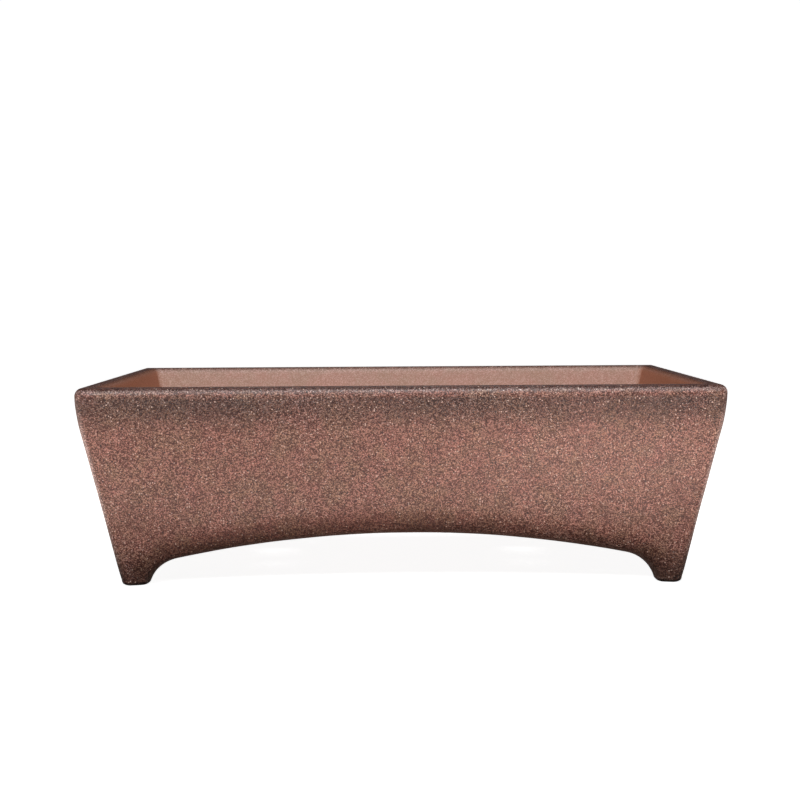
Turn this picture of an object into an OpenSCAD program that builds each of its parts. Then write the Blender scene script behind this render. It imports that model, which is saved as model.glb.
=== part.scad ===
// Rectangular bonsai pot, slab built in unglazed stoneware.
// Four mitred wall slabs stand on corner feet left by an arch in each lower edge.
// A floor slab sits between them on a ledge, and clay fillets seal every inside joint.
// Mesh screens, held by bent wire clips, cover the two drain holes.
// The origin is on the ground under the middle of the pot. X runs along the long side.

/* [Pot] */
// Width over the rim, along X
pot_w = 260; // [220:5:320]
// Depth over the rim, along Y
pot_d = 190; // [160:5:240]
// Height from the ground to the rim
pot_h = 82; // [72:1:100]

/* [Walls] */
// Thickness of the wall at the rim
rim_t = 8; // [6:0.5:10]
// Lean of the outer face below the bend, in degrees
lean = 12.3; // [10:0.1:18]
// Lean of the inner face, in degrees
inner_lean = 12; // [9:0.1:15]
// Height of the upright band under the rim
band_h = 4; // [4:0.5:12]
// Height of the bend between the upright band and the leaning face
bend_h = 14; // [8:1:24]
// Rounding of the rim's outer edge
rim_outer_r = 3; // [1:0.5:4]
// Rounding of the rim's inner edge
rim_inner_r = 1.5; // [0.5:0.5:3]

/* [Feet and arches] */
// Width of each foot on the ground
foot_w = 10; // [9:0.5:16]
// Height of the arch over the ground, in the middle of a side
arch_h = 21; // [18:0.5:22]
// Rise of the arch from its shoulders to its middle
arch_rise = 9; // [4:0.5:10]
// Radius of the shoulder between arch and foot
shoulder_r = 16; // [10:0.5:18]

/* [Floor] */
// Height of the floor's underside over the ground
floor_z = 25; // [24:0.5:30]
// Thickness of the floor slab
floor_t = 8; // [6:0.5:10]
// Diameter of the drain holes
drain_d = 18; // [16:1:22]
// Distance between the drain holes, along X
drain_gap = 110; // [90:5:120]
// Diameter of the tie-wire holes
tie_d = 4; // [3:0.5:5]
// Distance between the tie-wire holes, along X
tie_x = 168; // [120:2:170]
// Distance between the tie-wire holes, along Y
tie_y = 100; // [60:2:104]

/* [Fillets] */
// Radius of the upright fillets inside the pot
corner_r = 3; // [3:0.5:8]
// Radius of the fillets along the floor's upper edge
floor_r = 6; // [4:0.5:8]
// Radius of the fillets under the floor
under_r = 3; // [2:0.5:4]

/* [Screens and clips] */
// Side of the square drain screens
screen_w = 33; // [29:2:37]
// Thickness of the screens
screen_t = 1.2; // [0.8:0.1:1.6]
// Width of a screen's strands
strand_w = 1; // [0.8:0.1:1.2]
// Diameter of the clip wire
wire_d = 1.5; // [1:0.1:1.8]
// Length of a clip's straight crown, between its two hairpins
crown_l = 14; // [12:1:20]
// Length of a clip's toes under the floor
clip_toe = 6; // [4:0.5:10]

/* [Hidden] */

CLAY = "#7c574c";
INSIDE_CLAY = "#97776b";
MESH_BLACK = "#26282a";
WIRE_GREY = "#9b9a97";

floor_top = floor_z + floor_t;
bend_top = pot_h - band_h;
bend_bottom = bend_top - bend_h;
bend_r = bend_h / sin(lean);
arc_steps = 12;
arch_steps = 40;
past = 1;      // how far a cutting shape runs past the face that it cuts
wedge_in = 40; // how far the mitre wedge of a wall runs in from the rim
mesh_pitch = 4; // from one strand of a screen to the next
leg_x = mesh_pitch / 2; // a clip's legs go through the gaps at leg_x, 2 * hairpin_r
hairpin_r = 3 * mesh_pitch / 4;

// How far the outer and inner faces lie in from the rim's outer plane at height z
function outer_inset(z) =
    z >= bend_top ? 0 :
    z >= bend_bottom ? bend_r - sqrt(pow(bend_r, 2) - pow(bend_top - z, 2)) :
    outer_inset(bend_bottom) + tan(lean) * (bend_bottom - z);
function inner_inset(z) = rim_t + tan(inner_lean) * (pot_h - z);

// A point on a circle about c, and points along one from angle a0 to angle a1
function polar(c, r, a) = c + r * [cos(a), sin(a)];
function arc(c, r, a0, a1, steps) =
    [for (i = [0 : steps]) polar(c, r, a0 + (a1 - a0) * i / steps)];

// ---- Wall slabs, drawn with the outer face towards -Y ----

// Section through a wall: X is the distance in from the rim's outer plane, Y is the height
module wall_section() {
    polygon(concat(
        [[outer_inset(0), 0]],
        [for (i = [0 : arc_steps])
            let (z = bend_bottom + bend_h * i / arc_steps) [outer_inset(z), z]],
        arc([rim_outer_r, pot_h - rim_outer_r], rim_outer_r, 180, 90, arc_steps),
        arc([rim_t - rim_inner_r, pot_h - rim_inner_r], rim_inner_r, 90, -inner_lean, arc_steps),
        [[inner_inset(0), 0]]
    ));
}

// The opening under a wall's arch, in the plane of a wall of that length
module arch_opening(span) {
    foot_x = span / 2 - outer_inset(0) - foot_w;
    shoulder_x = foot_x - shoulder_r;
    arch_r = (pow(shoulder_x, 2) + pow(arch_rise, 2)) / (2 * arch_rise);
    arch_z = arch_h - arch_r;
    shoulder_z = arch_z + sqrt(pow(arch_r - shoulder_r, 2) - pow(shoulder_x, 2));
    meet = atan2(shoulder_z - arch_z, shoulder_x);
    polygon(concat(
        [[foot_x, -shoulder_r]],
        arc([shoulder_x, shoulder_z], shoulder_r, 0, meet, arc_steps),
        arc([0, arch_z], arch_r, meet, 180 - meet, arch_steps),
        arc([-shoulder_x, shoulder_z], shoulder_r, 180 - meet, 180, arc_steps),
        [[-foot_x, -shoulder_r]]
    ));
}

// The wedge of space that belongs to one side: its ends are the 45 degree mitres
module side_wedge(span, depth) {
    translate([0, -depth / 2, -past])
        linear_extrude(pot_h + 2 * past)
            polygon([
                [-span / 2 - past, -past], [span / 2 + past, -past],
                [span / 2 - wedge_in, wedge_in], [-span / 2 + wedge_in, wedge_in]
            ]);
}

// A strip along one side: its section has X inwards from the rim's plane and Y upwards
module side_strip(span, depth) {
    intersection() {
        translate([-span / 2, -depth / 2, 0])
            rotate([90, 0, 90])
                linear_extrude(span)
                    children();
        side_wedge(span, depth);
    }
}

module wall(span, depth) {
    difference() {
        side_strip(span, depth) wall_section();
        translate([0, past - depth / 2 + wedge_in, 0])
            rotate([90, 0, 0])
                linear_extrude(wedge_in + 2 * past)
                    arch_opening(span);
    }
}

// ---- Fillets: clay pressed into the inside joints ----

// Section of a fillet whose corner is at the origin and opens towards -X.
// A fillet used as a cutter also runs back past both faces of its corner, by back.
module fillet_section(half_angle, r, back = 0) {
    centre = [-r / sin(half_angle), 0];
    start = 90 - half_angle;
    polygon(concat(
        [[back / sin(half_angle), 0]],
        back > 0 ? [polar(centre, r + back, start)] : [],
        arc(centre, r, start, -start, arc_steps),
        back > 0 ? [polar(centre, r + back, -start)] : []
    ));
}

// Section of a fillet along a side, in the corner of the inner face and a level face at height z
module level_fillet_section(z, side, r) {
    half_angle = (90 + side * inner_lean) / 2;
    translate([inner_inset(z), z])
        rotate(side * half_angle + 180)
            fillet_section(half_angle, r);
}

// A bar with that fillet's section along the leaning inner corner at +X +Y,
// from the height from up to the rim
module corner_bar(from, back = 0) {
    corner_lean = atan(sqrt(2) * tan(inner_lean));
    half_angle = 90 - acos(pow(sin(inner_lean), 2)) / 2;
    length = pot_h / cos(corner_lean) + corner_r + back;
    intersection() {
        translate([pot_w / 2 - inner_inset(0), pot_d / 2 - inner_inset(0), 0])
            rotate([0, corner_lean, 45])
                linear_extrude(length)
                    fillet_section(half_angle, corner_r, back);
        translate([0, 0, from])
            cube([pot_w, pot_d, pot_h - from]);
    }
}

module corner_fillet() {
    color(INSIDE_CLAY) corner_bar(floor_top);
}

// The upright fillets run through to the floor, and the floor's fillets stop against them
module floor_fillet(span, depth) {
    color(INSIDE_CLAY)
    difference() {
        side_strip(span, depth) level_fillet_section(floor_top, 1, floor_r);
        turned_corners(span) corner_bar(floor_top - past, past);
    }
}

module under_fillet(span, depth) {
    color(CLAY) side_strip(span, depth) level_fillet_section(floor_z, -1, under_r);
}

// The two front corners, as seen from a side of that length
module turned_corners(span) {
    if (span == pot_w) {
        mirror([0, 1, 0]) children();
        mirror([0, 1, 0]) mirror([1, 0, 0]) children();
    } else {
        rotate(90) mirror([1, 0, 0]) children();
        rotate(90) mirror([1, 0, 0]) mirror([0, 1, 0]) children();
    }
}

// ---- Floor ----

// A block with the lean of the inner faces, between the floor's two heights
module floor_block() {
    intersection() {
        rotate([90, 0, 0])
            linear_extrude(pot_d, center = true)
                floor_outline(pot_w);
        rotate([90, 0, 90])
            linear_extrude(pot_w, center = true)
                floor_outline(pot_d);
    }
}

module floor_outline(span) {
    low = span / 2 - inner_inset(floor_z);
    high = span / 2 - inner_inset(floor_top);
    polygon([[-low, floor_z], [low, floor_z], [high, floor_top], [-high, floor_top]]);
}

module drilled(d, x, y) {
    translate([x, y, floor_z - past])
        cylinder(d = d, h = floor_t + 2 * past, $fn = 64);
}

module floor_slab() {
    color(INSIDE_CLAY)
    difference() {
        floor_block();
        for (side = [-1, 1]) {
            drilled(drain_d, side * drain_gap / 2, 0);
            for (end = [-1, 1])
                drilled(tie_d, side * tie_x / 2, end * tie_y / 2);
        }
    }
}

// ---- Drain screens and their clips, drawn about the drain hole's axis ----

module screen() {
    strands = (screen_w - strand_w) / mesh_pitch;
    color(MESH_BLACK)
    translate([0, 0, floor_top])
    for (i = [0 : strands]) {
        place = i * mesh_pitch - screen_w / 2;
        translate([place, -screen_w / 2, 0]) cube([strand_w, screen_w, screen_t]);
        translate([-screen_w / 2, place, 0]) cube([screen_w, strand_w, screen_t]);
    }
}

// Wire along a list of steps, starting at the origin and running along +X.
// ["run", length] goes straight on. ["turn", angle, radius, roll] bends to the left,
// after rolling the wire about its own axis.
module wire(steps, i = 0) {
    if (i < len(steps)) {
        step = steps[i];
        if (step[0] == "run") {
            rotate([0, 90, 0]) cylinder(d = wire_d, h = step[1], $fn = 24);
            translate([step[1], 0, 0]) wire(steps, i + 1);
        } else {
            angle = step[1];
            r = step[2];
            rotate([step[3], 0, 0]) {
                translate([0, r, 0])
                    rotate(-90)
                        rotate_extrude(angle = angle, $fn = 48)
                            translate([r, 0]) circle(d = wire_d, $fn = 24);
                translate([0, r, 0])
                    rotate(angle)
                        translate([0, -r, 0])
                            wire(steps, i + 1);
            }
        }
    }
}

// Half of a clip, from the middle of the crown: a hairpin, back over the leg, down and out
module half_clip() {
    elbow = 1.5;
    drop = floor_t + screen_t + wire_d - 2 * elbow;
    wire([
        ["run", crown_l / 2],
        ["turn", 180, hairpin_r, 0],
        ["run", crown_l / 2 - leg_x - elbow],
        ["turn", 90, elbow, -90],
        ["run", drop],
        ["turn", 90, elbow, -90],
        ["run", clip_toe]
    ]);
}

module clip() {
    color(WIRE_GREY)
    translate([0, 0, floor_top + screen_t + wire_d / 2])
    for (end = [0, 180])
        rotate(end) half_clip();
}

// ---- The whole pot ----

module at_drain(side) {
    mirror([side < 0 ? 1 : 0, 0, 0])
        translate([drain_gap / 2, 0, 0])
            children();
}

module at_corner(x, y) {
    mirror([x < 0 ? 1 : 0, 0, 0]) mirror([0, y < 0 ? 1 : 0, 0]) children();
}

color(CLAY) wall(pot_w, pot_d);  // front_wall
color(CLAY) rotate(180) wall(pot_w, pot_d);  // back_wall
color(CLAY) rotate(-90) wall(pot_d, pot_w);  // left_wall
color(CLAY) rotate(90) wall(pot_d, pot_w);  // right_wall
floor_slab();

at_corner(-1, -1) corner_fillet();  // corner_fillet_front_left
at_corner(1, -1) corner_fillet();  // corner_fillet_front_right
at_corner(-1, 1) corner_fillet();  // corner_fillet_back_left
at_corner(1, 1) corner_fillet();  // corner_fillet_back_right

floor_fillet(pot_w, pot_d);  // floor_fillet_front
rotate(180) floor_fillet(pot_w, pot_d);  // floor_fillet_back
rotate(-90) floor_fillet(pot_d, pot_w);  // floor_fillet_left
rotate(90) floor_fillet(pot_d, pot_w);  // floor_fillet_right

under_fillet(pot_w, pot_d);  // under_fillet_front
rotate(180) under_fillet(pot_w, pot_d);  // under_fillet_back
rotate(-90) under_fillet(pot_d, pot_w);  // under_fillet_left
rotate(90) under_fillet(pot_d, pot_w);  // under_fillet_right

at_drain(-1) screen();  // drain_screen_left
at_drain(1) screen();  // drain_screen_right
at_drain(-1) clip();  // screen_clip_left
at_drain(1) clip();  // screen_clip_right
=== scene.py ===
"""The looks of a rectangular stoneware bonsai pot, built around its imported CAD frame.

All the clay and both drain nets are rebuilt as dense meshes. Only the wire clips stay CAD meshes. A
piece of clay starts as the CAD shape, and every vertex that stands outside the hand-finished body is
drawn in onto it: the rim and the edges are rounded, the faces roll under at the arches, and the slabs
are slightly uneven. Lengths in the body's formulas are in millimetres. Lamps, the camera and finished
meshes are in metres, as the frame is.
"""

import math

import bmesh
import bpy
import numpy as np
from mathutils import Matrix, Vector
from mathutils.geometry import delaunay_2d_cdt


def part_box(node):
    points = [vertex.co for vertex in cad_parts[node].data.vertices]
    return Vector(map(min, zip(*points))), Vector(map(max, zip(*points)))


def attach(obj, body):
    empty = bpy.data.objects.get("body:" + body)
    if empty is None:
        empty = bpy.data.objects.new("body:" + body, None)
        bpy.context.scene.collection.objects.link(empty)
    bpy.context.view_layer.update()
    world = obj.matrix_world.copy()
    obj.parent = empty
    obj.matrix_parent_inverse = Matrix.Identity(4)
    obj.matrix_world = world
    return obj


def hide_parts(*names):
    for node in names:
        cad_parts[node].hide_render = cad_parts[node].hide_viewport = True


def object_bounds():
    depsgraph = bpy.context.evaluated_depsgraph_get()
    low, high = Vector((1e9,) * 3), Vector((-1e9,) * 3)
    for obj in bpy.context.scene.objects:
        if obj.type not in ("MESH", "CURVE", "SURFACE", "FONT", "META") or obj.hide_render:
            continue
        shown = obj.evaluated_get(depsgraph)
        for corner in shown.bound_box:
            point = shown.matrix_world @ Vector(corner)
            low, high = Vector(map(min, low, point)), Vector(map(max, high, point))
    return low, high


MM = 0.001

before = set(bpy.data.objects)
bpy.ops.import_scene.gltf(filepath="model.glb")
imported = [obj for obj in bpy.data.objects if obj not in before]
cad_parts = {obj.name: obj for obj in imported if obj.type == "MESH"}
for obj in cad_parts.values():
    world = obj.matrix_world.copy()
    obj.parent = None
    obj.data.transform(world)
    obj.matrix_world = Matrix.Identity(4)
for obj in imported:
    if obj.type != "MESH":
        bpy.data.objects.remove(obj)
cad_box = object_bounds()

# ---------------------------------------------------------------- the body's dimensions, in mm

floor_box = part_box("floor_slab")
screen_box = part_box("drain_screen_right")

POT_W, POT_D, POT_H = ((cad_box[1][k] - cad_box[0][k]) / MM for k in range(3))
FLOOR_Z = floor_box[0].z / MM
FLOOR_TOP = floor_box[1].z / MM
RIM_T = 8.0
LEAN = math.radians(12.3)
INNER_LEAN = math.radians(12.0)

# The outside is upright in a band at the rim, and then bends into its lean
BAND_H = 4.0
BEND_H = 14.0
BEND_TOP = POT_H - BAND_H
BEND_BOTTOM = BEND_TOP - BEND_H
BEND_R = BEND_H / math.sin(LEAN)

# The arch: a long, low curve between two shoulders that turn down into the feet
FOOT_W = 10.0
ARCH_H = 21.0
ARCH_RISE = 9.0
SHOULDER_R = 16.0

# The floor's holes, as (x, y, radius)
DRAIN_R = 9.0
DRAIN_X = (screen_box[0].x + screen_box[1].x) / 2 / MM
TIE_R = 2.0
TIE_X, TIE_Y = 84.0, 50.0
HOLES = [(side * DRAIN_X, 0.0, DRAIN_R) for side in (-1, 1)]
HOLES += [(side * TIE_X, end * TIE_Y, TIE_R) for side in (-1, 1) for end in (-1, 1)]

# How the potter's sponge and knife left the edges and the fillets: radii of the roundings
CORNER_EDGE_R = 3.3
RIM_EDGE_R = 3.4
RIM_INNER_R = 1.8
FOOT_EDGE_R = 1.8
ARCH_EDGE_R = 2.6
HOLE_EDGE_R = 1.4
LARGEST_HOLE_EDGE = 0.4  # as a share of the hole's radius
CORNER_R = 3.0
FLOOR_R = 6.0
UNDER_R = 3.0
FOOT_CORNER_R = 0.4

# How far an upright fillet reaches along each wall, measured level
CORNER_REACH = CORNER_R / math.cos(INNER_LEAN)

# The drain screens: square nets of welded strands
SCREEN_W = (screen_box[1].x - screen_box[0].x) / MM
SCREEN_TOP = screen_box[1].z / MM
STRAND_W = 1.0
MESH_PITCH = 4.0

# The outer face rolls under towards the arch, by this depth over this height, most of it at the edge
ROLL_DEPTH = 3.0
ROLL_H = 12.0
ROLL_POWER = 2.2

# The arches were pared a little above the knife's line, and the long ones not quite level
ARCH_PARED = 0.2
ARCH_TILT = 0.009

# A vertex this near to the body's surface is on the open skin, and no part of a hidden joint
ON_SKIN = 0.03


# ---------------------------------------------------------------- the body as a formula

def outer_inset(z):
    """How far the outer face lies in from the rim's outer plane, at height z."""
    bend = BEND_R - np.sqrt(np.maximum(BEND_R**2 - np.clip(BEND_TOP - z, 0, BEND_H) ** 2, 0))
    return bend + math.tan(LEAN) * np.maximum(BEND_BOTTOM - z, 0)


def inner_inset(z):
    """How far the inner face lies in from the rim's outer plane, at height z."""
    return RIM_T + math.tan(INNER_LEAN) * (POT_H - z)


def arch_circles(span):
    """(half the foot gap, shoulder centre x, shoulder centre z, arch radius, arch centre z)."""
    foot_x = span / 2 - float(outer_inset(np.float64(0))) - FOOT_W
    shoulder_x = foot_x - SHOULDER_R
    arch_r = (shoulder_x**2 + ARCH_RISE**2) / (2 * ARCH_RISE)
    arch_z = ARCH_H - arch_r
    shoulder_z = arch_z + math.sqrt((arch_r - SHOULDER_R) ** 2 - shoulder_x**2)
    return foot_x, shoulder_x, shoulder_z, arch_r, arch_z


def arch_distance(span, along, z):
    """Distance from the arch's outline to a point in the wall's plane: positive in the clay."""
    foot_x, shoulder_x, shoulder_z, arch_r, arch_z = arch_circles(span)
    meet = math.atan2(shoulder_z - arch_z, shoulder_x)
    x = np.abs(along)
    angle = np.arctan2(z - shoulder_z, x - shoulder_x)
    shoulder = np.hypot(x - shoulder_x, z - shoulder_z) - SHOULDER_R
    crown = np.hypot(x, z - arch_z) - arch_r
    side = x - foot_x
    return np.where(angle > meet, crown, np.where(angle > 0, shoulder, side))


def rounded(*terms):
    """Intersection of half spaces with rounded edges. Each term is (value, radius), in mm."""
    return np.sqrt(sum(reach(*term) for term in terms)) - 1


def reach(value, radius):
    """A half space's part in a rounded intersection: 1 where the surface is its face alone."""
    return np.maximum(1 + value / radius, 0) ** 2


def smooth_step(x, low, high):
    """0 up to low, 1 from high on, and smooth between."""
    t = np.clip((x - low) / (high - low), 0, 1)
    return t * t * (3 - 2 * t)


def fade(x, near, far):
    """1 up to near, 0 from far on, and smooth between."""
    return 1 - smooth_step(x, near, far)


# Waves of the hand-pressed slabs: wave vector in radians per mm, height in mm, and phase
rng = np.random.default_rng(7)
WAVES = []
for wavelength, height in ((92, 0.05), (67, 0.04), (51, 0.03), (38, 0.03), (27, 0.02), (19, 0.01)):
    heading = rng.normal(size=3)
    WAVES.append((2 * math.pi / wavelength * heading / np.linalg.norm(heading), height, rng.uniform(0, 6)))


def unevenness(p):
    """How far the hand-pressed outer surface lies under the true one, never negative."""
    return sum(h * (1 + np.sin(p @ k + phase)) for k, h, phase in WAVES)


def body_terms(p):
    """The half spaces and hollows that bound the clay, as (value, radius) pairs, by kind of face."""
    x, y, z = p[:, 0], p[:, 1], p[:, 2]
    in_x = POT_W / 2 - np.abs(x)
    in_y = POT_D / 2 - np.abs(y)
    out = outer_inset(z)
    inner = inner_inset(z)
    level = math.cos(LEAN)
    front_arch = arch_distance(POT_W, x, z - ARCH_PARED - ARCH_TILT * x)
    side_arch = arch_distance(POT_D, y, z - ARCH_PARED)
    front_roll = ROLL_DEPTH * np.clip(1 - front_arch / ROLL_H, 0, 1) ** ROLL_POWER
    side_roll = ROLL_DEPTH * np.clip(1 - side_arch / ROLL_H, 0, 1) ** ROLL_POWER
    # distances in from the inner faces: positive in the hollows
    deep_x = (in_x - inner) * math.cos(INNER_LEAN)
    deep_y = (in_y - inner) * math.cos(INNER_LEAN)
    sides = CORNER_R * rounded((-deep_x, CORNER_R), (-deep_y, CORNER_R))
    cavity = -FLOOR_R * rounded((sides, FLOOR_R), (FLOOR_TOP - z, FLOOR_R))
    low_sides = FOOT_CORNER_R * rounded((-deep_x, FOOT_CORNER_R), (-deep_y, FOOT_CORNER_R))
    under = -UNDER_R * rounded((low_sides, UNDER_R), (z - FLOOR_Z, UNDER_R))
    outside = [
        ((out - in_x) * level + side_roll, CORNER_EDGE_R),
        ((out - in_y) * level + front_roll, CORNER_EDGE_R),
        (z - POT_H, RIM_EDGE_R),
        (-z, FOOT_EDGE_R),
    ]
    cut = [(-front_arch, ARCH_EDGE_R), (-side_arch, ARCH_EDGE_R)]
    inside = [(cavity, RIM_INNER_R), (under, RIM_INNER_R)]
    for hole_x, hole_y, radius in HOLES:
        gap = radius - np.hypot(x - hole_x, y - hole_y)
        inside.append((gap, min(HOLE_EDGE_R, radius * LARGEST_HOLE_EDGE)))
    return outside, cut, inside


def body_field(p):
    """Negative inside the clay, zero on its surface. p is an array of points in mm."""
    x, y, z = p[:, 0], p[:, 1], p[:, 2]
    outside, cut, inside = body_terms(p)
    skin = RIM_INNER_R * rounded(*outside, *cut, *inside)
    to_rim_plane = np.minimum(POT_W / 2 - np.abs(x), POT_D / 2 - np.abs(y))
    # the slabs are uneven on the outside only, and not at the rim or where the feet stand
    burnished = smooth_step(inner_inset(z) - to_rim_plane, 0, 6)
    return skin + unevenness(p) * burnished * smooth_step(z, 0, 3) * smooth_step(POT_H - z, 2, 12)


# The names of what surface_looks gives, for the mesh attributes that the clay's material reads
LOOKS = ("raw", "wear", "rim", "painted_shade", "painted_side_shade")
# The clay's colours on worn edges, as painted shade under the rim, at the arches and the feet, on top of
# the rim and on the insides of the short walls, and those of the pale specks and the dark pits in it


def surface_looks(p):
    """The five LOOKS of each point, in their order: raw, wear, rim, and two of painted shade.

    They say how far it belongs to an unburnished face, to a rounded edge, to the top of the rim, to
    painted shade in a band under the rim, along the arches' edges and on the feet, and to painted
    shade on the insides of the short walls."""
    x, y, z = p[:, 0], p[:, 1], p[:, 2]
    down = POT_H - z
    outside, cut, inside = ([reach(*term) for term in kind] for kind in body_terms(p))
    total = np.maximum(sum(outside) + sum(cut) + sum(inside), 1e-6)
    raw = (sum(inside) + 0.6 * sum(cut)) / total
    strongest = np.max(outside + cut + inside, axis=0)
    wear = np.clip(2 * (1 - strongest / total), 0, 1)
    # The top of the rim: its colour is darkened as painted shade, and its reflection is dulled
    rim = fade(down, 0.5, 2)
    # Painted shade: a band under the rim, the arches' edges and the feet are darkened in colour where
    # little light falls
    painted_shade_band = smooth_step(down, 3, 5) * fade(down, 6, 20)
    from_arch = np.minimum(arch_distance(POT_W, x, z), arch_distance(POT_D, y, z))
    painted_shade = np.maximum.reduce([painted_shade_band, fade(from_arch, 1, 11), fade(z, 4, 18)])
    # Painted shade on the insides of the short walls, past the mitres and above the floor
    past_mitre = (POT_D / 2 - np.abs(y)) - (POT_W / 2 - np.abs(x))
    painted_side_shade = smooth_step(past_mitre, -1, 4) * smooth_step(z - FLOOR_TOP, 3, 14)
    return raw, wear, rim, painted_shade, painted_side_shade


def slope(field, p, step=0.01):
    """The field's gradient at each point."""
    columns = []
    for axis in np.eye(3):
        columns.append((field(p + step * axis) - field(p - step * axis)) / (2 * step))
    return np.stack(columns, axis=1)


def draw_in(p):
    """Moves every point that lies outside the clay onto its surface, in steps of at most 1 mm."""
    rounds, tolerance, longest_step, least_slope = 12, 1e-4, 1.0, 0.2
    p = p.copy()
    for _ in range(rounds):
        value = body_field(p)
        outside = value > tolerance
        if not outside.any():
            break
        grad = slope(body_field, p[outside])
        steepness = np.maximum((grad**2).sum(1), least_slope**2)
        move = grad * (value[outside] / steepness)[:, None]
        length = np.linalg.norm(move, axis=1)[:, None]
        p[outside] -= move * np.minimum(1, longest_step / np.maximum(length, 1e-9))
    return p


# ---------------------------------------------------------------- meshes from patches

def graded(count, start=1.0, end=1.0):
    """Values from 0 to 1, closer together towards an end whose weight is below 1."""
    t = (np.arange(count) + 0.5) / count
    widths = start * (1 - t) ** 2 + end * t**2 + 2 * t * (1 - t)
    return np.concatenate([[0], np.cumsum(widths)]) / widths.sum()


def blend(a, b, t):
    """Rows of points from curve a to curve b, at the fractions t."""
    return a[None] + (b - a)[None] * t[:, None, None]


class Patches:
    """Collects grids and triangles of points, and joins them into one closed mesh."""

    def __init__(self):
        self.points = []
        self.faces = []
        self.count = 0

    def grid(self, points, kept=None):
        """Adds a grid of points and its quads, or only those that kept marks."""
        rows, columns = points.shape[:2]
        index = self.count + np.arange(rows * columns).reshape(rows, columns)
        corners = (index[:-1, :-1], index[:-1, 1:], index[1:, 1:], index[1:, :-1])
        quads = np.stack(corners, axis=-1)
        self.faces += (quads.reshape(-1, 4) if kept is None else quads[kept]).tolist()
        self.add(points.reshape(-1, 3))

    def triangles(self, points, faces):
        """Adds points and the faces between them."""
        self.faces += [[self.count + i for i in face] for face in faces]
        self.add(points)

    def add(self, points):
        """Adds points alone."""
        self.points.append(points)
        self.count += len(points)

    def joined(self):
        """Points and faces, with the patches' shared edges merged, and faces with no area left out."""
        points = np.concatenate(self.points)
        _, first, where = np.unique(np.round(points, 3), axis=0, return_index=True, return_inverse=True)
        where = where.reshape(-1)
        faces = []
        for face in self.faces:
            corners = list(dict.fromkeys(where[i] for i in face))
            if len(corners) > 2:
                faces.append(corners)
        return points[first], faces


def clay_piece(name, patches, place=None):
    """Makes a piece of clay: the patches' shape, turned into place and drawn in onto the body."""
    points, faces = patches.joined()
    if place is not None:
        points = points @ place.T
    piece = new_piece(name, draw_in(points), faces)
    smooth_clay(piece.data)
    return piece


def new_piece(name, points, faces):
    """A smooth mesh object of those points, which are in mm, with its faces turned outwards."""
    mesh = bpy.data.meshes.new(name)
    mesh.from_pydata((points * MM).tolist(), [], faces)
    outwards = bmesh.new()
    outwards.from_mesh(mesh)
    bmesh.ops.recalc_face_normals(outwards, faces=outwards.faces)
    outwards.to_mesh(mesh)
    outwards.free()
    mesh.polygons.foreach_set("use_smooth", np.ones(len(mesh.polygons), bool))
    piece = bpy.data.objects.new(name, mesh)
    bpy.context.scene.collection.objects.link(piece)
    return piece


def smooth_clay(mesh):
    """Shades the open surface by the body's own slope and the hidden joints flat, and adds the LOOKS."""
    count = len(mesh.vertices)
    co = np.empty(count * 3)
    mesh.vertices.foreach_get("co", co)
    points = co.reshape(-1, 3) / MM
    grad = slope(body_field, points)
    grad /= np.maximum(np.linalg.norm(grad, axis=1), 1e-9)[:, None]
    on_skin = np.abs(body_field(points)) < ON_SKIN
    normals = []
    for face in mesh.polygons:
        flat = np.array(face.normal)
        for corner in face.vertices:
            soft = on_skin[corner] and grad[corner] @ flat > 0.3
            normals.append(grad[corner] if soft else flat)
    mesh.normals_split_custom_set(np.array(normals).tolist())
    for name, values in zip(LOOKS, surface_looks(points)):
        mesh.attributes.new(name, "FLOAT", "POINT").data.foreach_set("value", values)


# ---------------------------------------------------------------- walls

def sheet_rows(span, inset, columns, rows, foot_columns, foot_rows):
    """The grids of one half of a wall's outer or inner sheet: above the arch, above the foot, the foot.

    The foot's grid runs from the shoulder's curve across to the mitre, so that its lines follow the edge.
    Each grid is an array of points (along, inset, height)."""
    over_foot_w, mitre_rise = 24, 12
    foot_x, shoulder_x, shoulder_z, arch_r, arch_z = arch_circles(span)
    meet = math.atan2(shoulder_z - arch_z, shoulder_x)
    ground = math.asin(-shoulder_z / SHOULDER_R)
    crown_angle = math.pi / 2 - (math.pi / 2 - meet) * graded(columns, 1.3, 0.5)
    bottom_x = arch_r * np.cos(crown_angle)
    bottom_z = arch_z + arch_r * np.sin(crown_angle)
    bottom_x[0] = 0
    knee_x, knee_z = bottom_x[-1], bottom_z[-1]
    top_x = bottom_x * (span / 2 - inset(np.float64(POT_H)) - over_foot_w) / knee_x

    lift = graded(rows, 0.16, 0.16)[:, None]
    above_x = bottom_x + (top_x - bottom_x) * lift
    above_z = bottom_z + (POT_H - bottom_z) * lift

    across = graded(foot_columns, 0.35, 0.35)
    shoulder_angle = ground + (meet - ground) * graded(foot_rows, 0.5, 1.0)
    left_x = shoulder_x + SHOULDER_R * np.cos(shoulder_angle)
    left_z = shoulder_z + SHOULDER_R * np.sin(shoulder_angle)
    left_x[-1], left_z[-1], left_z[0] = knee_x, knee_z, 0
    right_z = (knee_z + mitre_rise) * graded(foot_rows, 0.5, 1.0)
    foot_z = left_z[:, None] + (right_z - left_z)[:, None] * across
    foot_x_grid = left_x[:, None] * (1 - across) + (span / 2 - inset(foot_z)) * across

    over_z = foot_z[-1] + (POT_H - foot_z[-1]) * lift
    over_x = above_x[:, -1:] * (1 - across) + (span / 2 - inset(over_z)) * across

    grids = []
    for x, z in ((above_x, above_z), (over_x, over_z), (foot_x_grid, foot_z)):
        grids.append(np.stack([x, inset(z), z], axis=-1))
    return grids


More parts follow.
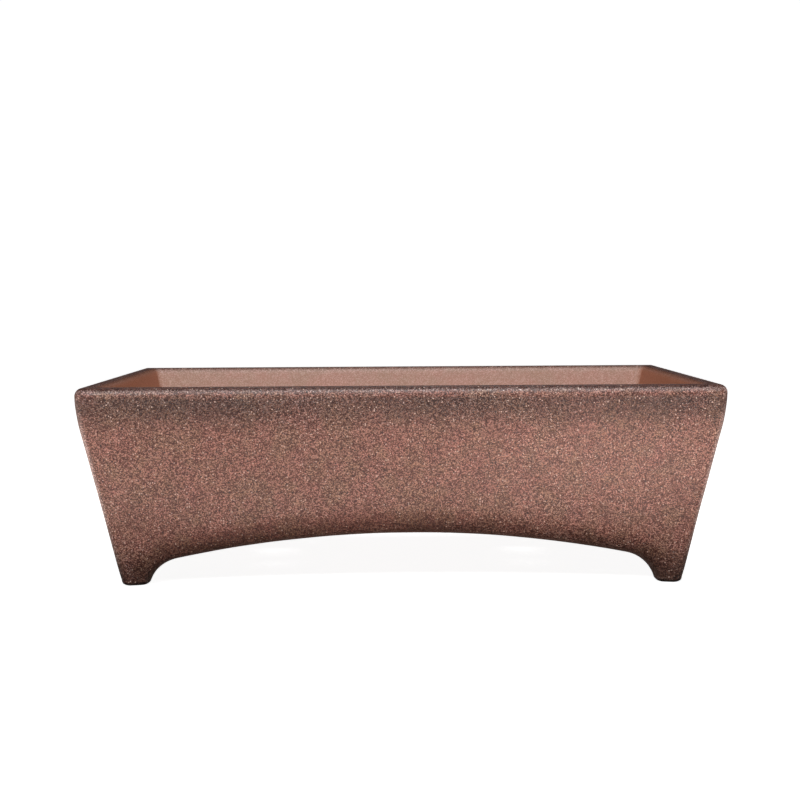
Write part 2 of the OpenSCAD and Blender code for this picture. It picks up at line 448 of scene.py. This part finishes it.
def wall_patches(span, depth):
    """The front wall of a pot of that span and depth, facing -Y."""
    patches = Patches()
    size = {"columns": 44 if span > depth else 30, "rows": 46, "foot_columns": 20, "foot_rows": 24}
    outer = sheet_rows(span, outer_inset, **size)
    inner = sheet_rows(span, inner_inset, **size)
    through = graded(14, 0.4, 0.4)
    above, over, foot = zip(outer, inner)
    top, bottom, near_side, mitre = np.s_[-1], np.s_[0], np.s_[:, 0], np.s_[:, -1]
    edges = (
        (above, top), (over, top), (above, bottom),
        (foot, near_side), (foot, bottom), (foot, mitre), (over, mitre),
    )
    joins = [blend(sheets[0][edge], sheets[1][edge], through) for sheets, edge in edges]
    for grid in outer + inner + joins:
        for side in (-1, 1):
            patches.grid(np.stack([side * grid[..., 0], grid[..., 1] - depth / 2, grid[..., 2]], axis=-1))
    return patches


def turned(quarters):
    """Rotation about Z by quarter turns."""
    c, s = round(math.cos(quarters * math.pi / 2)), round(math.sin(quarters * math.pi / 2))
    return np.array([[c, -s, 0], [s, c, 0], [0, 0, 1.0]])


# ---------------------------------------------------------------- floor and fillets

def clear_of_holes(x, y, gap=0):
    """Whether a point of the floor is more than that gap outside every hole."""
    return all(math.hypot(x - hole_x, y - hole_y) > radius + gap for hole_x, hole_y, radius in HOLES)


def hole_rings(hole_x, hole_y, radius):
    """Rings of points from a hole's edge outwards. Those past the rounded edge are turned half a step."""
    gaps, rounding = (0, 0.3, 0.6, 1.0, 1.5, 2.4, 4.2), 1.2
    count = 64 if radius > TIE_R else 28
    rings = []
    for gap in gaps:
        ring_r = radius + gap
        turn = 0.5 if gap > rounding else 0
        angles = [2 * math.pi * (k + turn) / count for k in range(count)]
        rings.append([(hole_x + ring_r * math.cos(a), hole_y + ring_r * math.sin(a)) for a in angles])
    return rings


def floor_sheet(half):
    """The floor's flat sheet, of that half size in x and y: points, triangles and closed hole edges."""
    pitch, clearance = 6.0, 7
    steps = np.ceil(2 * half / pitch).astype(int)
    xs, ys = (np.linspace(-half[k], half[k], steps[k] + 1) for k in range(2))
    points = [(x, y) for y in ys for x in xs if clear_of_holes(x, y, clearance)]
    hole_edges = []
    for hole in HOLES:
        rings = hole_rings(*hole)
        start = len(points)
        hole_edges.append([*range(start, start + len(rings[0])), start])
        points += sum(rings, [])
    flat, _, triangles, *_ = delaunay_2d_cdt([Vector(p) for p in points], [], [], 0, 1e-6)
    flat = np.array(flat)
    kept = [list(triangle) for triangle in triangles if clear_of_holes(*flat[list(triangle)].mean(0))]
    return flat, kept, hole_edges


def floor_patches():
    """The floor slab. Its edge leans like the walls' inner faces."""
    plan = np.array([POT_W, POT_D]) / 2
    half = plan - inner_inset(FLOOR_TOP)
    flat, triangles, hole_edges = floor_sheet(half)
    at_wall = np.abs(flat) > half - 0.01

    def lifted(z):
        """The sheet's points at height z, those at the walls moved to follow the lean."""
        moved = np.where(at_wall, np.sign(flat) * (plan - inner_inset(z)), flat)
        return np.column_stack([moved, np.full(len(flat), z)])

    patches = Patches()
    top, bottom = lifted(FLOOR_TOP), lifted(FLOOR_Z)
    patches.triangles(top, triangles)
    patches.triangles(bottom, triangles)
    levels = graded(12, 0.5, 0.5)
    for edge in hole_edges:
        patches.grid(blend(bottom[edge], top[edge], levels))
    border = np.nonzero(at_wall.any(axis=1))[0]
    angle = np.arctan2(flat[border, 1] / half[1], flat[border, 0] / half[0])
    border = border[np.argsort(angle)]
    border = np.append(border, border[0])
    patches.grid(blend(bottom[border], top[border], np.linspace(0, 1, 3)))
    return patches


def filled(corner, facing):
    """A closed bar between a corner's line and a sheet that faces it. Rows run along the line."""
    patches = Patches()
    patches.grid(facing)
    across = graded(6)
    patches.grid(blend(corner, facing[:, 0], across))
    patches.grid(blend(corner, facing[:, -1], across))
    for level in (0, -1):
        tip = np.repeat(corner[level][None], facing.shape[1], axis=0)
        patches.grid(blend(tip, facing[level], across))
    return patches


def corner_fillet_patches():
    """The upright fillet of the corner at +X +Y, from the floor to the rim: a square bar at first."""
    heights = FLOOR_TOP + (POT_H - FLOOR_TOP) * graded(54, 0.5, 0.12)
    side = graded(9)
    corner, facing = [], []
    for z in heights:
        cx, cy = POT_W / 2 - inner_inset(z), POT_D / 2 - inner_inset(z)
        corner.append((cx, cy, z))
        one_side = [(cx - CORNER_REACH, cy - CORNER_REACH * t, z) for t in side]
        other_side = [(cx - CORNER_REACH * (1 - t), cy - CORNER_REACH, z) for t in side[1:]]
        facing.append(one_side + other_side)
    return filled(np.array(corner), np.array(facing))


def level_fillet_patches(span, depth, z, up, radius, pocket):
    """The fillet between the front wall of that span and the floor's face at height z.

    up is 1 on top of the floor and -1 under it. The ends are mitred, and stop short of the corner
    where an upright fillet fills a pocket of that size. The sheet that faces out is flat at first."""
    pitch = 4
    along = 2 * graded(int(span / pitch), 0.3, 0.3) - 1
    facing = []
    for t in np.linspace(0, 1, 13):
        height, into = z + up * radius * (1 - t), radius * t
        end = span / 2 - inner_inset(height) - max(into, pocket)
        facing.append([(end * k, inner_inset(height) + into - depth / 2, height) for k in along])
    end = span / 2 - inner_inset(z) - pocket
    corner = np.array([(end * k, inner_inset(z) - depth / 2, z) for k in along])
    return filled(corner, np.array(facing).transpose(1, 0, 2))


# ---------------------------------------------------------------- drain screens

def screen_patches(centre_x):
    """A moulded net: strands with a rounded section, welded into one sheet."""
    thick = SCREEN_TOP - FLOOR_TOP
    strands = round((SCREEN_W - STRAND_W) / MESH_PITCH) + 1
    across = STRAND_W * np.array([0, 0.06, 0.2, 0.5, 0.8, 0.94, 1])
    lines = (MESH_PITCH * np.arange(strands)[:, None] + across).ravel()
    to_gap = np.tile(np.minimum(across, STRAND_W - across), strands)
    to_edge = np.minimum(lines, SCREEN_W - lines)
    depth = np.minimum(np.hypot(to_gap[:, None], to_gap), np.minimum(to_edge[:, None], to_edge))
    swell = thick / 2 * np.sqrt(1 - (1 - np.minimum(2 * depth / STRAND_W, 1)) ** 2)
    in_strand = np.arange(len(lines) - 1) % len(across) < len(across) - 1
    x, y = np.meshgrid(lines - SCREEN_W / 2, lines - SCREEN_W / 2, indexing="ij")
    patches = Patches()
    for up in (-1, 1):
        sheet = np.stack([x + centre_x, y, FLOOR_TOP + thick / 2 + up * swell], axis=-1)
        patches.grid(sheet, in_strand[:, None] | in_strand)
    return patches


# ---------------------------------------------------------------- pieces

ONE_BODY = "root"
MIRROR_X, MIRROR_Y = np.diag([-1.0, 1, 1]), np.diag([1.0, -1, 1])

# Each side's length, its distance from the opposite side, and its quarter turns from the front
SIDES = {
    "front": (POT_W, POT_D, 0), "right": (POT_D, POT_W, 1),
    "back": (POT_W, POT_D, 2), "left": (POT_D, POT_W, 3),
}
CORNERS = {
    "back_right": np.eye(3), "back_left": MIRROR_X,
    "front_right": MIRROR_Y, "front_left": MIRROR_X @ MIRROR_Y,
}
clay_shapes = {"floor_slab": (floor_patches(), None)}
for side, (span, depth, quarters) in SIDES.items():
    place = turned(quarters)
    on_floor = level_fillet_patches(span, depth, FLOOR_TOP, 1, FLOOR_R, CORNER_REACH)
    under_floor = level_fillet_patches(span, depth, FLOOR_Z, -1, UNDER_R, 0)
    clay_shapes[side + "_wall"] = wall_patches(span, depth), place
    clay_shapes["floor_fillet_" + side] = on_floor, place
    clay_shapes["under_fillet_" + side] = under_floor, place
for corner, place in CORNERS.items():
    clay_shapes["corner_fillet_" + corner] = corner_fillet_patches(), place

clay_pieces = {node: clay_piece(node + "_clay", *shape) for node, shape in clay_shapes.items()}
for node, piece in clay_pieces.items():
    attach(piece, ONE_BODY)
    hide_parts(node)

screens = []
for node, centre_x in (("drain_screen_left", -DRAIN_X), ("drain_screen_right", DRAIN_X)):
    screen = new_piece(node + "_net", *screen_patches(centre_x).joined())
    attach(screen, ONE_BODY)
    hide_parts(node)
    screens.append(screen)


# ---------------------------------------------------------------- materials

def new_material(name):
    """A new material, its nodes and links, and its shader."""
    material = bpy.data.materials.new(name)
    material.use_nodes = True
    tree = material.node_tree
    return material, tree.nodes, tree.links, tree.nodes["Principled BSDF"]


def noise(nodes, links, place, size_mm, detail=2.0, roughness=0.5):
    """A noise texture with features of about that size, in mm."""
    texture = nodes.new("ShaderNodeTexNoise")
    texture.inputs["Scale"].default_value = 1 / (size_mm * MM)
    texture.inputs["Detail"].default_value = detail
    texture.inputs["Roughness"].default_value = roughness
    links.new(place, texture.inputs["Vector"])
    return texture.outputs["Fac"]


def ramp(nodes, links, value, stops):
    """A colour ramp on a value. stops are (position, colour)."""
    node = nodes.new("ShaderNodeValToRGB")
    elements = node.color_ramp.elements
    while len(elements) < len(stops):
        elements.new(0.5)
    for element, (position, colour) in zip(elements, stops):
        element.position = position
        element.color = (*colour, 1) if len(colour) == 3 else colour
    links.new(value, node.inputs["Fac"])
    return node.outputs["Color"]


def mix(nodes, links, factor, a, b, kind="MIX"):
    """Mixes two colours. Each of factor, a and b is a socket or a constant."""
    node = nodes.new("ShaderNodeMix")
    node.data_type = "RGBA"
    node.blend_type = kind
    for socket, value in ((node.inputs[0], factor), (node.inputs[6], a), (node.inputs[7], b)):
        if isinstance(value, bpy.types.NodeSocket):
            links.new(value, socket)
        elif isinstance(value, (int, float)):
            socket.default_value = value
        else:
            socket.default_value = (*value, 1)
    return node.outputs[2]


def cells(nodes, links, place, pitch_mm):
    """Cells of about that pitch, like packed grains: their texture node."""
    texture = nodes.new("ShaderNodeTexVoronoi")
    texture.inputs["Scale"].default_value = 1 / (pitch_mm * MM)
    links.new(place, texture.inputs["Vector"])
    return texture


def spread(nodes, links, value, low, high, to_low=0.0, to_high=1.0):
    """Maps the value's range low..high onto to_low..to_high, and holds it there."""
    node = nodes.new("ShaderNodeMapRange")
    node.inputs["From Min"].default_value = low
    node.inputs["From Max"].default_value = high
    node.inputs["To Min"].default_value = to_low
    node.inputs["To Max"].default_value = to_high
    links.new(value, node.inputs["Value"])
    return node.outputs["Result"]


def maths(nodes, links, operation, a, b):
    """A maths node on two values. Each is a socket or a constant."""
    node = nodes.new("ShaderNodeMath")
    node.operation = operation
    for socket, value in zip(node.inputs, (a, b)):
        if isinstance(value, bpy.types.NodeSocket):
            links.new(value, socket)
        else:
            socket.default_value = value
    return node.outputs["Value"]


def grains(nodes, links, place, pitch_mm, share, size):
    """Scattered grains: 1 inside a grain. share is the part of the cells that hold one, and size a
    grain's radius, in cells."""
    texture = cells(nodes, links, place, pitch_mm)
    near = spread(nodes, links, texture.outputs["Distance"], size, size * 0.55)
    pick = maths(nodes, links, "LESS_THAN", one_channel(nodes, links, texture.outputs["Color"]), share)
    return maths(nodes, links, "MULTIPLY", near, pick)


def bump(nodes, links, shader, height, strength, depth_mm):
    """Gives the shader bumps of that depth."""
    node = nodes.new("ShaderNodeBump")
    node.inputs["Strength"].default_value = strength
    node.inputs["Distance"].default_value = depth_mm * MM
    links.new(height, node.inputs["Height"])
    links.new(node.outputs["Normal"], shader.inputs["Normal"])


def one_channel(nodes, links, colour):
    """A colour's red: an even random number, where the colour is a cell's."""
    node = nodes.new("ShaderNodeSeparateColor")
    links.new(colour, node.inputs["Color"])
    return node.outputs[0]


def attribute(nodes, name):
    """A mesh attribute's value."""
    node = nodes.new("ShaderNodeAttribute")
    node.attribute_name = name
    return node.outputs["Fac"]


# What the darkest, middling and palest grains of sand do to the clay's colour
SAND_SHADES = ((0.1, (0.26, 0.06, 0.02)), (0.5, (0.72, 0.64, 0.60)), (0.9, (3.1, 4.6, 5.8)))

# The burnished and the raw clay's colours, from the reddest of their clouds to the yellowest
BROWN_CLAY = ((0.36, (0.212, 0.071, 0.045)), (0.5, (0.203, 0.073, 0.044)), (0.64, (0.190, 0.075, 0.042)))
RAW_CLAY = ((0.36, (0.54, 0.300, 0.232)), (0.5, (0.52, 0.300, 0.230)), (0.64, (0.50, 0.300, 0.224)))

# The clay's colours on worn edges, under smoke, on top of the rim and where it is toasted, and those
# of the pale specks and the dark pits in it
WORN_EDGE = (0.36, 0.215, 0.17)
PAINTED_SHADE_CLAY = (0.048, 0.018, 0.011)
PAINTED_SHADE_RIM_TOP = (0.085, 0.028, 0.018)
PAINTED_SHADE_SIDE_CLAY = (0.47, 0.160, 0.075)
SPECK = (0.76, 0.54, 0.44)
PIT = (0.02, 0.012, 0.01)


def sanded(nodes, links, place, colour, sand, grit):
    """The colour with sand in it: paler and darker grains, pale specks and dark pits."""
    stops = [(at, [1 + grit * (k - 1) for k in shade]) for at, shade in SAND_SHADES]
    colour = mix(nodes, links, 1.0, colour, ramp(nodes, links, sand, stops), "MULTIPLY")
    pale = grains(nodes, links, place, 0.9, 0.12, 0.36)
    colour = mix(nodes, links, maths(nodes, links, "MULTIPLY", pale, grit), colour, SPECK)
    pits = grains(nodes, links, place, 1.1, 0.12, 0.36)
    return mix(nodes, links, maths(nodes, links, "MULTIPLY", pits, grit), colour, PIT)


def clay_colour(nodes, links, place, sand):
    """Sandy brown where the clay is burnished, and a paler, more even colour where it is raw."""
    clouds = noise(nodes, links, place, 9, detail=3)
    brown = ramp(nodes, links, clouds, BROWN_CLAY)
    worn = maths(nodes, links, "MULTIPLY", attribute(nodes, "wear"), 0.5)
    brown = mix(nodes, links, worn, brown, WORN_EDGE)
    # Painted shade: darker clay in the band under the rim, along the arches and on the feet, unevenly
    # strong
    painted_shade_share = spread(nodes, links, noise(nodes, links, place, 60), 0.35, 0.65, 0.4, 0.75)
    painted_shade_share = maths(nodes, links, "MULTIPLY", painted_shade_share, attribute(nodes, "painted_shade"))
    brown = mix(nodes, links, painted_shade_share, brown, PAINTED_SHADE_CLAY)
    # Painted shade: darker clay on top of the rim
    brown = mix(nodes, links, attribute(nodes, "rim"), brown, PAINTED_SHADE_RIM_TOP)
    brown = sanded(nodes, links, place, brown, sand, 1.0)

    # Painted shade: darker, redder clay on the insides of the short walls
    side_shade_share = maths(nodes, links, "MULTIPLY", attribute(nodes, "painted_side_shade"), 0.85)
    pale = mix(nodes, links, side_shade_share, ramp(nodes, links, clouds, RAW_CLAY), PAINTED_SHADE_SIDE_CLAY)
    pale = sanded(nodes, links, place, pale, sand, 0.12)
    return mix(nodes, links, attribute(nodes, "raw"), brown, pale)


def clay_material(name):
    """Unglazed stoneware, burnished or raw as the mesh's attributes say.

    Burnished clay has a dull gloss and stands in tiny domes, one to a grain. Raw clay is matt."""
    material, nodes, links, shader = new_material(name)
    place = nodes.new("ShaderNodeTexCoord").outputs["Object"]
    grain = cells(nodes, links, place, 0.36)
    fine = one_channel(nodes, links, grain.outputs["Color"])
    coarse = one_channel(nodes, links, cells(nodes, links, place, 0.8).outputs["Color"])
    sand = maths(nodes, links, "ADD", maths(nodes, links, "MULTIPLY", fine, 0.92),
                 maths(nodes, links, "MULTIPLY", coarse, 0.08))
    links.new(clay_colour(nodes, links, place, sand), shader.inputs["Base Color"])

    raw_share = attribute(nodes, "raw")
    polish = maths(nodes, links, "MULTIPLY", attribute(nodes, "wear"), 0.1)
    gloss = maths(nodes, links, "SUBTRACT", spread(nodes, links, sand, 0.1, 0.9, 0.46, 0.22), polish)
    rough = nodes.new("ShaderNodeMix")
    links.new(gloss, rough.inputs["A"])
    rough.inputs["B"].default_value = 0.55
    height = nodes.new("ShaderNodeMix")
    dome = spread(nodes, links, grain.outputs["Distance"], 0, 0.7, 1, 0)
    links.new(maths(nodes, links, "MULTIPLY", dome, sand), height.inputs["A"])
    height.inputs["B"].default_value = 0.5
    for node in (rough, height):
        links.new(raw_share, node.inputs["Factor"])
    links.new(rough.outputs["Result"], shader.inputs["Roughness"])
    dull = maths(nodes, links, "MAXIMUM", maths(nodes, links, "MULTIPLY", raw_share, 0.6),
                 maths(nodes, links, "MULTIPLY", attribute(nodes, "rim"), 0.85))
    links.new(maths(nodes, links, "SUBTRACT", 1.0, dull), shader.inputs["Specular IOR Level"])
    bump(nodes, links, shader, height.outputs["Result"], 0.9, 0.25)
    return material


def plastic_material():
    """Dark moulded net: dull, lightly pitted, and dusted with clay."""
    material, nodes, links, shader = new_material("screen_plastic")
    place = nodes.new("ShaderNodeTexCoord").outputs["Object"]
    dust = noise(nodes, links, place, 2.5, detail=4)
    links.new(ramp(nodes, links, dust, [
        (0.35, (0.012, 0.013, 0.014)), (0.55, (0.024, 0.025, 0.026)), (0.75, (0.085, 0.062, 0.052)),
    ]), shader.inputs["Base Color"])
    links.new(spread(nodes, links, dust, 0.3, 0.7, 0.42, 0.7), shader.inputs["Roughness"])
    pits = noise(nodes, links, place, 0.25)
    bump(nodes, links, shader, pits, 0.5, 0.05)
    return material


def wire_material():
    """Aluminium wire: drawn, slightly dull, with darker tarnish."""
    material, nodes, links, shader = new_material("clip_wire")
    place = nodes.new("ShaderNodeTexCoord").outputs["Object"]
    tarnish = noise(nodes, links, place, 1.8, detail=5, roughness=0.6)
    links.new(ramp(nodes, links, tarnish, [
        (0.35, (0.62, 0.61, 0.59)), (0.55, (0.55, 0.54, 0.52)), (0.72, (0.34, 0.33, 0.31)),
    ]), shader.inputs["Base Color"])
    shader.inputs["Metallic"].default_value = 1.0
    links.new(spread(nodes, links, tarnish, 0.3, 0.7, 0.28, 0.5), shader.inputs["Roughness"])
    bump(nodes, links, shader, noise(nodes, links, place, 0.3), 0.3, 0.03)
    return material


burnished = clay_material("burnished_clay")
raw = clay_material("raw_clay")
plastic = plastic_material()
wire = wire_material()


def dress(obj, material):
    """Gives the object that material alone."""
    obj.data.materials.clear()
    obj.data.materials.append(material)


for node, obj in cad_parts.items():
    if node.startswith("screen_clip"):
        dress(obj, wire)
for node, piece in clay_pieces.items():
    dress(piece, burnished if node.endswith("_wall") else raw)
for screen in screens:
    dress(screen, plastic)


# ---------------------------------------------------------------- camera

def place_camera():
    """The photo's view: nearly straight on, from a little above the rim, with a long lens."""
    azimuth, elevation, roll = math.radians(-0.24), math.radians(3.56), math.radians(-0.34)
    distance, target = 0.776, Vector((-0.0001, 0, 0.0707))
    level = math.cos(elevation)
    back = Vector((math.sin(azimuth) * level, -math.cos(azimuth) * level, math.sin(elevation)))
    data = bpy.data.cameras.new("camera")
    data.lens = 77.34
    data.sensor_width = 36
    data.clip_start, data.clip_end = 0.05, 20
    camera = bpy.data.objects.new("camera", data)
    camera.location = target + back * distance
    turn = (-back).to_track_quat("-Z", "Y").to_matrix().to_4x4()
    camera.rotation_euler = (turn @ Matrix.Rotation(roll, 4, "Z")).to_euler()
    bpy.context.scene.collection.objects.link(camera)
    bpy.context.scene.camera = camera


# ---------------------------------------------------------------- stage and light

def area_light(name, location, target, width, height, watts, colour=(1, 1, 1)):
    """A rectangular lamp that points at the target and isn't seen itself."""
    data = bpy.data.lights.new(name, "AREA")
    data.shape = "RECTANGLE"
    data.size, data.size_y = width, height
    data.energy = watts
    data.color = colour
    lamp = bpy.data.objects.new(name, data)
    lamp.location = location
    # the slight offset keeps the height along Y when a lamp points straight up or down
    aim = Vector(target) - Vector(location) + Vector((0, 1e-4, 0))
    lamp.rotation_euler = aim.to_track_quat("-Z", "Y").to_euler()
    lamp.visible_camera = False
    bpy.context.scene.collection.objects.link(lamp)


def set_stage():
    """A white floor that runs up into a white backdrop. It is out of sight of the pot, whose light
    comes from the lamps and the cards round it."""
    mesh = bpy.data.meshes.new("floor")
    half, front, depth, curve, wall, under, steps = 3.0, -3.0, 1.6, 0.8, 3.0, -0.1 * MM, 12
    profile = [(front, under), (depth, under)]
    for k in range(1, steps + 1):
        angle = math.pi / 2 * k / steps
        profile.append((depth + curve * math.sin(angle), under + curve * (1 - math.cos(angle))))
    profile.append((depth + curve, wall))
    points = [(x, y, z) for y, z in profile for x in (-half, half)]
    faces = [(2 * k, 2 * k + 1, 2 * k + 3, 2 * k + 2) for k in range(len(profile) - 1)]
    mesh.from_pydata(points, [], faces)
    mesh.polygons.foreach_set("use_smooth", np.ones(len(mesh.polygons), bool))
    floor = bpy.data.objects.new("floor", mesh)
    bpy.context.scene.collection.objects.link(floor)
    material, _, _, shader = new_material("white_paper")
    shader.inputs["Base Color"].default_value = (0.8, 0.8, 0.8, 1)
    shader.inputs["Roughness"].default_value = 0.9
    shader.inputs["Emission Color"].default_value = (1, 1, 1, 1)
    shader.inputs["Emission Strength"].default_value = 0.925
    dress(floor, material)
    floor.visible_diffuse = False
    floor.visible_glossy = False


def set_lights():
    """Soft lamps above, and cards lying round the pot that throw the table's warm light up at it."""
    world = bpy.data.worlds.new("world")
    world.use_nodes = True
    background = world.node_tree.nodes["Background"]
    background.inputs["Color"].default_value = (1, 1, 1, 1)
    background.inputs["Strength"].default_value = 0.03
    bpy.context.scene.world = world
    middle = (0, 0, 0.05)
    area_light("front_lamp", (0.05, -0.72, 1.10), middle, 0.4, 0.3, 6.2)
    for x, watts in ((-0.35, 4.6), (0.35, 1.8)):
        area_light("glint_lamp", (x, -1.16, 0.76), middle, 0.15, 0.15, watts)
    area_light("top_lamp", (0, -0.25, 1.0), middle, 0.4, 0.2, 0.8)
    area_light("back_lamp", (0, 0.75, 1.0), middle, 0.5, 0.5, 3.0)
    warm = (1.0, 0.8, 0.72)
    card = 0.5 * MM
    near_y, far_y = -0.145, -0.18
    for x, watts in ((-0.10, 0.037), (0, 0.030), (0.10, 0.028)):
        area_light("near_card", (x, near_y, card), (x, near_y, 1), 0.1, 0.03, watts, warm)
    for x, watts in ((0, 0.020), (0.10, 0.074)):
        area_light("far_card", (x, far_y, card), (x, far_y, 1), 0.1, 0.04, watts, warm)
    for x, watts in ((-0.25, 0.45), (0.25, 0.30)):
        area_light("side_card", (x, -0.05, card), (x, -0.05, 1), 0.15, 0.3, watts, warm)
    area_light("back_card", (0, 0.15, card), (0, 0.15, 1), 0.3, 0.04, 0.15, warm)


place_camera()
set_stage()
set_lights()
bpy.context.scene.view_settings.view_transform = "Standard"
